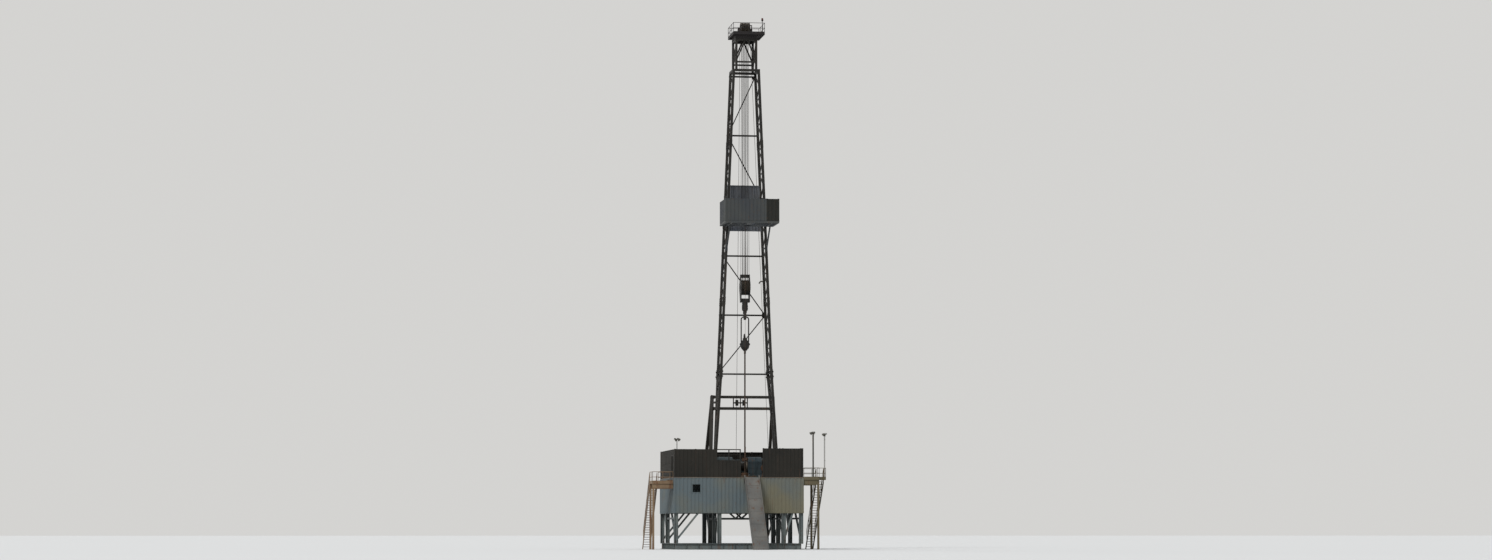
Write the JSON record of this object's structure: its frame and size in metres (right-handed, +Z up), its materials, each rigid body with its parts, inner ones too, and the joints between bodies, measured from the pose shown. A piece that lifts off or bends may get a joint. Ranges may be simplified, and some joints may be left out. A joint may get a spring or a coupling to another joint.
{
  "type": "land oil drilling rig with cantilever mast, 1:2 scale model",
  "caption": "Land drilling rig: raised clad drill floor, open-front lattice mast, racking board, crown, travelling block, kelly and rotary, at half size.",
  "frame": {"origin": "well centre at ground level, in the plane of the skid frame's underside", "axes": "+Z up; +X to the right seen from the pipe ramp; +Y to the rear, towards the drawworks"},
  "size_m": [8.861, 10.09, 27.08],
  "materials": {
    "skid_paint": "weathered blue-grey paint",
    "deck_plate": "worn rust-brown chequer plate",
    "pale_sheet": "pale blue-grey ribbed sheet, chalky",
    "wind_sheet": "dark ribbed sheet, dull",
    "landing_paint": "olive-brown paint with rust",
    "rust_paint": "brown rusted paint",
    "ramp_steel": "scraped grey steel",
    "house_paint": "dark weathered paint",
    "door_paint": "grey-green paint",
    "window_glass": "clear pane",
    "mast_paint": "charcoal paint, weathered",
    "a_frame_paint": "charcoal paint, weathered",
    "crown_paint": "near-black paint",
    "board_sheet": "slate blue-grey ribbed sheet",
    "pipe_steel": "grey paint",
    "rotary_paint": "dark paint with grease",
    "worn_steel": "worn turning steel",
    "tool_paint": "rust-brown paint",
    "winch_paint": "blue-grey machine paint",
    "wire_rope": "greased wire rope",
    "block_paint": "near-black greasy paint",
    "sheave_steel": "worn cast rims",
    "kelly_steel": "reddish-brown mud-stained steel",
    "lamp_paint": "grey paint"
  },
  "bodies": {
    "root": {"base_frame": "skid_paint", "sub_left": "skid_paint", "sub_right": "skid_paint", "sub_bracing": "skid_paint", "floor_beams": "skid_paint", "drill_floor": "deck_plate", "cladding": "pale_sheet", "windwall_front": "wind_sheet", "windwall_left": "wind_sheet", "windwall_right": "wind_sheet", "windwall_back": "wind_sheet", "landing_right": "landing_paint", "stair_right": "landing_paint", "landing_left": "rust_paint", "stair_left": "rust_paint", "vdoor_ramp": "ramp_steel", "doghouse_floor": "house_paint", "doghouse_walls": "house_paint", "doghouse_roof": "house_paint", "doghouse_door": "door_paint", "doghouse_glass": "window_glass", "mast_shoes": "mast_paint", "leg_left_lower": "mast_paint", "leg_right_lower": "mast_paint", "leg_left_upper": "mast_paint", "leg_right_upper": "mast_paint", "bracing_lower": "mast_paint", "bracing_upper": "mast_paint", "a_frame": "a_frame_paint", "crown_section": "mast_paint", "crown_frame": "crown_paint", "crown_platform": "crown_paint", "racking_board": "board_sheet", "racking_walls": "board_sheet", "tall_wall": "board_sheet", "mast_ladder": "mast_paint", "standpipe": "pipe_steel", "rotary_housing": "rotary_paint", "drawworks": "winch_paint", "drum": "worn_steel", "deadline_anchor": "tool_paint", "dead_line": "wire_rope", "fast_line": "wire_rope", "drilling_lines": "wire_rope", "pipe_tong": "tool_paint", "light_poles": "lamp_paint"},
    "travelling": {"block_frame": "block_paint", "hook": "block_paint", "swivel": "block_paint"},
    "block_wheel": {"block_sheaves": "sheave_steel"},
    "crown_wheel": {"crown_sheaves": "sheave_steel"},
    "rotary": {"rotary_table": "worn_steel", "kelly_bushing": "tool_paint"},
    "kelly_bar": {"kelly": "kelly_steel"}
  },
  "joints": [
    {"name": "block_hoist", "type": "slide", "parent": "root", "child": "travelling", "axis": [0, 0, 1], "range_m": [-5.9, 10.4], "deforming": ["drilling_lines"]},
    {"name": "rotary_spin", "type": "hinge", "parent": "root", "child": "rotary", "pos_m": [0, 0, 3.7], "axis": [0, 0, 1], "continuous": true},
    {"name": "kelly_spin", "type": "hinge", "parent": "travelling", "child": "kelly_bar", "pos_m": [0, 0, 9.8], "axis": [0, 0, 1], "continuous": true},
    {"name": "crown_sheave_spin", "type": "hinge", "parent": "root", "child": "crown_wheel", "pos_m": [0, 0, 26.5], "axis": [1, 0, 0], "continuous": true},
    {"name": "block_sheave_spin", "type": "hinge", "parent": "travelling", "child": "block_wheel", "pos_m": [0, 0, 13.3], "axis": [1, 0, 0], "continuous": true}
  ],
  "couplings": [
    {"joint": "kelly_spin", "follows": "rotary_spin", "ratio": 1}
  ]
}
